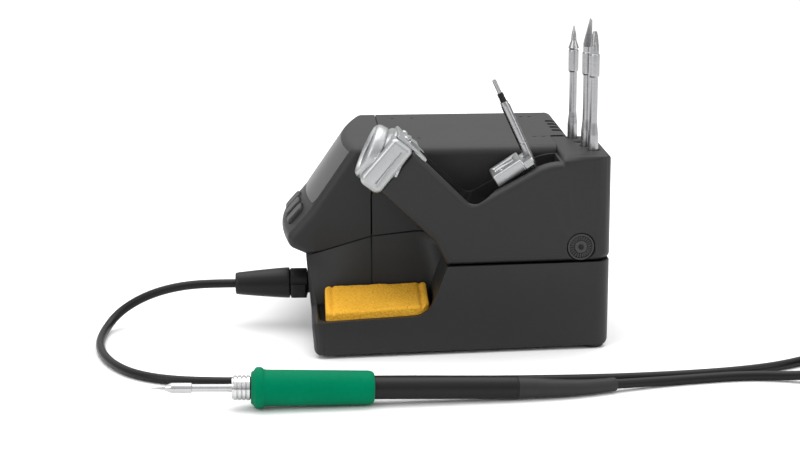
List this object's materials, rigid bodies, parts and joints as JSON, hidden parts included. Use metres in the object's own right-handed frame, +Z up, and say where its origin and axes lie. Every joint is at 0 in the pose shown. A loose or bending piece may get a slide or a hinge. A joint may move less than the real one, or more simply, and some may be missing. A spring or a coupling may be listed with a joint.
{
  "type": "soldering iron station",
  "caption": "Bench soldering station: power unit with a cartridge stand, sponge tray and tip rack on its side, and an iron on a flexible cord.",
  "frame": {"origin": "centre of the station's footprint on the bench, at bench level", "axes": "+Z up, +Y towards the rear of the station, +X towards the side that carries the tool stand"},
  "size_m": [0.2377, 0.4397, 0.1728],
  "materials": {
    "housing": "matte, fine texture",
    "window": "gloss",
    "key": "satin",
    "die_cast": "bead blasted",
    "steel": "ground",
    "chrome": "bright plate",
    "black_plastic": "satin",
    "grip": "matte",
    "cord_rubber": "satin",
    "sponge": "open cell, damp",
    "foot_rubber": "matte",
    "brass": "plain",
    "iron_core": "laminated",
    "winding": "enamelled wire",
    "board": "solder mask",
    "plated": "plated sheet"
  },
  "bodies": {
    "station": {"base_shell": "housing", "housing_cover": "housing", "console_bezel": "housing", "stand_shell": "housing", "rear_panel": "plated", "mains_inlet": "black_plastic", "inlet_blades": "steel", "switch_frame": "black_plastic", "earth_jack": "chrome", "earth_jack_nut": "steel", "panel_screws": "steel", "display_window": "window", "display_module": "board", "control_board": "board", "key_switches": "black_plastic", "transformer_core": "iron_core", "transformer_windings": "winding", "transformer_bracket": "plated", "power_board": "board", "heatsink": "die_cast", "capacitors": "black_plastic", "relay": "black_plastic", "tool_socket": "chrome", "socket_pins": "brass", "plug_body": "black_plastic", "plug_boot": "black_plastic", "plug_latch": "black_plastic", "cord_from_plug": "cord_rubber", "cord_coil": "cord_rubber", "cord_to_handpiece": "cord_rubber", "tool_holder": "die_cast", "holder_tongue": "die_cast", "holder_screws": "steel", "extractor_block": "die_cast", "extractor_bracket": "plated", "wheel_pin": "black_plastic", "sponge_support": "black_plastic", "feet": "foot_rubber", "foot_screws": "steel"},
    "far_key": {"key_far": "key"},
    "centre_key": {"key_centre": "key"},
    "near_key": {"key_near": "key"},
    "wheel": {"thumb_wheel": "key"},
    "fine_cartridge": {"cartridge_fine": "steel"},
    "knife_cartridge": {"cartridge_knife": "steel"},
    "chisel_cartridge": {"cartridge_chisel": "steel"},
    "spare_cartridge": {"spare_tube": "steel", "spare_insulator": "black_plastic", "spare_contact": "steel"},
    "wiping_sponge": {"sponge": "sponge"},
    "handpiece": {"handle_tube": "black_plastic", "grip_sleeve": "grip", "collar_nut": "chrome", "contact_block": "black_plastic", "strain_relief": "black_plastic"},
    "iron_cartridge": {"cartridge_in_use": "steel"},
    "rocker": {"power_rocker": "key"},
    "fuse_carrier": {"fuse_drawer": "black_plastic", "fuse": "chrome"}
  },
  "joints": [
    {"name": "far_key_press", "type": "slide", "parent": "station", "child": "far_key", "axis": [0, 0.7435, -0.6687], "range_m": [0, 0.0012], "stiffness_N_per_m": 250},
    {"name": "centre_key_press", "type": "slide", "parent": "station", "child": "centre_key", "axis": [0, 0.7435, -0.6687], "range_m": [0, 0.0012], "stiffness_N_per_m": 250},
    {"name": "near_key_press", "type": "slide", "parent": "station", "child": "near_key", "axis": [0, 0.7435, -0.6687], "range_m": [0, 0.0012], "stiffness_N_per_m": 250},
    {"name": "wheel_turn", "type": "hinge", "parent": "station", "child": "wheel", "pos_m": [0.06499, 0.0712, 0.0559], "axis": [0.9976, 0.0698, 0], "continuous": true},
    {"name": "fine_cartridge_lift", "type": "slide", "parent": "station", "child": "fine_cartridge", "axis": [0, 0, 1], "range_m": [0, 0.045]},
    {"name": "knife_cartridge_lift", "type": "slide", "parent": "station", "child": "knife_cartridge", "axis": [0, 0, 1], "range_m": [0, 0.045]},
    {"name": "chisel_cartridge_lift", "type": "slide", "parent": "station", "child": "chisel_cartridge", "axis": [0, 0, 1], "range_m": [0, 0.045]},
    {"name": "spare_cartridge_pull", "type": "slide", "parent": "station", "child": "spare_cartridge", "axis": [0, -0.4147, 0.91], "range_m": [0, 0.03]},
    {"name": "sponge_lift", "type": "slide", "parent": "station", "child": "wiping_sponge", "axis": [0, 0, 1], "range_m": [0, 0.02]},
    {"name": "handpiece_lift", "type": "slide", "parent": "station", "child": "handpiece", "axis": [0, 0, 1], "range_m": [0, 0.025]},
    {"name": "iron_cartridge_pull", "type": "slide", "parent": "handpiece", "child": "iron_cartridge", "axis": [0.0429, -0.9985, 0.0334], "range_m": [0, 0.035]},
    {"name": "rocker_tilt", "type": "hinge", "parent": "station", "child": "rocker", "pos_m": [-0.0205, 0.0725, 0.027], "axis": [1, 0, 0], "range_deg": [0, 12]},
    {"name": "fuse_drawer_pull", "type": "slide", "parent": "station", "child": "fuse_carrier", "axis": [0, 1, 0], "range_m": [0, 0.012]}
  ]
}
